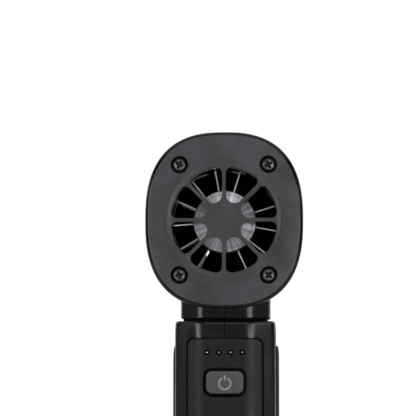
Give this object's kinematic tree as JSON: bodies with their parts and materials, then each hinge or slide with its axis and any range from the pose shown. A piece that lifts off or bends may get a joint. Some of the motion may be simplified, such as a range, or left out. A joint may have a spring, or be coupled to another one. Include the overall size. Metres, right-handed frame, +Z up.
{
  "type": "car dryer blower",
  "caption": "Hand-held battery blower for drying cars: bladed rotor behind a slotted rear intake, straightening vanes, push-fit outlet nozzle, handle with cells and a power button.",
  "frame": {"origin": "centre of the rubber pad's underside, where the handle stands", "axes": "+Z up the handle, +Y the way the air blows, +X to the right seen from behind"},
  "size_m": [0.0672, 0.149, 0.2009],
  "materials": {
    "shell_plastic": "satin",
    "grille_plastic": "matte",
    "panel_plastic": "matte",
    "button_plastic": "matte",
    "duct_plastic": "gloss",
    "soft_grip": "matte",
    "foam_gasket": "matte",
    "black_screw": "satin",
    "rotor_black": "gloss",
    "polished_aluminium": "polished",
    "bright_steel": "satin",
    "magnet_nickel": "satin",
    "laminated_steel": "satin",
    "enamelled_copper": "gloss",
    "clear_plastic": "gloss",
    "circuit_board": "satin",
    "cell_sleeve": "gloss",
    "nickel_strip": "satin",
    "lead_red": "satin"
  },
  "bodies": {
    "housing": {"housing_left": "shell_plastic", "housing_right": "shell_plastic", "base_cap": "shell_plastic", "rear_grille": "grille_plastic", "mouth_ring": "grille_plastic", "control_panel": "panel_plastic", "cell_holder_lower": "panel_plastic", "cell_holder_upper": "panel_plastic", "tact_switch": "panel_plastic", "fan_duct": "duct_plastic", "guide_vanes": "duct_plastic", "motor_end_cap": "duct_plastic", "tail_cone": "duct_plastic", "grip_pad_left": "soft_grip", "grip_pad_right": "soft_grip", "base_pad": "soft_grip", "duct_ring_rear": "soft_grip", "duct_ring_front": "soft_grip", "inlet_gasket": "foam_gasket", "grille_screw_1": "black_screw", "grille_screw_2": "black_screw", "grille_screw_3": "black_screw", "grille_screw_4": "black_screw", "housing_screw_1": "black_screw", "housing_screw_2": "black_screw", "housing_screw_3": "black_screw", "bearing_rear": "bright_steel", "bearing_front": "bright_steel", "charge_port": "bright_steel", "stator_core": "laminated_steel", "stator_coil_1": "enamelled_copper", "stator_coil_2": "enamelled_copper", "stator_coil_3": "enamelled_copper", "light_guide": "clear_plastic", "control_board": "circuit_board", "driver_board": "circuit_board", "charge_board": "circuit_board", "battery_cell_1": "cell_sleeve", "battery_cell_2": "cell_sleeve", "battery_cell_3": "cell_sleeve", "battery_cell_4": "cell_sleeve", "capacitor": "cell_sleeve", "cell_strip_1": "nickel_strip", "cell_strip_2": "nickel_strip", "cell_strip_3": "nickel_strip", "positive_tab": "nickel_strip", "negative_tab": "nickel_strip", "motor_cable": "lead_red", "battery_lead_1": "lead_red", "battery_lead_2": "lead_red"},
    "fan": {"impeller": "rotor_black", "hub_cap": "polished_aluminium", "motor_shaft": "bright_steel", "rotor_magnet": "magnet_nickel"},
    "button": {"power_button": "button_plastic", "switch_plunger": "bright_steel"},
    "outlet": {"nozzle": "shell_plastic", "nozzle_ring": "soft_grip"}
  },
  "joints": [
    {"name": "fan_spin", "type": "hinge", "parent": "housing", "child": "fan", "pos_m": [0, 0, 0.1633], "axis": [0, 1, 0], "continuous": true},
    {"name": "button_press", "type": "slide", "parent": "housing", "child": "button", "axis": [0, 1, 0], "range_m": [0, 0.0006], "stiffness_N_per_m": 800, "springref_m": -0.001},
    {"name": "nozzle_pull", "type": "slide", "parent": "housing", "child": "outlet", "axis": [0, 1, 0], "range_m": [0, 0.025]}
  ]
}
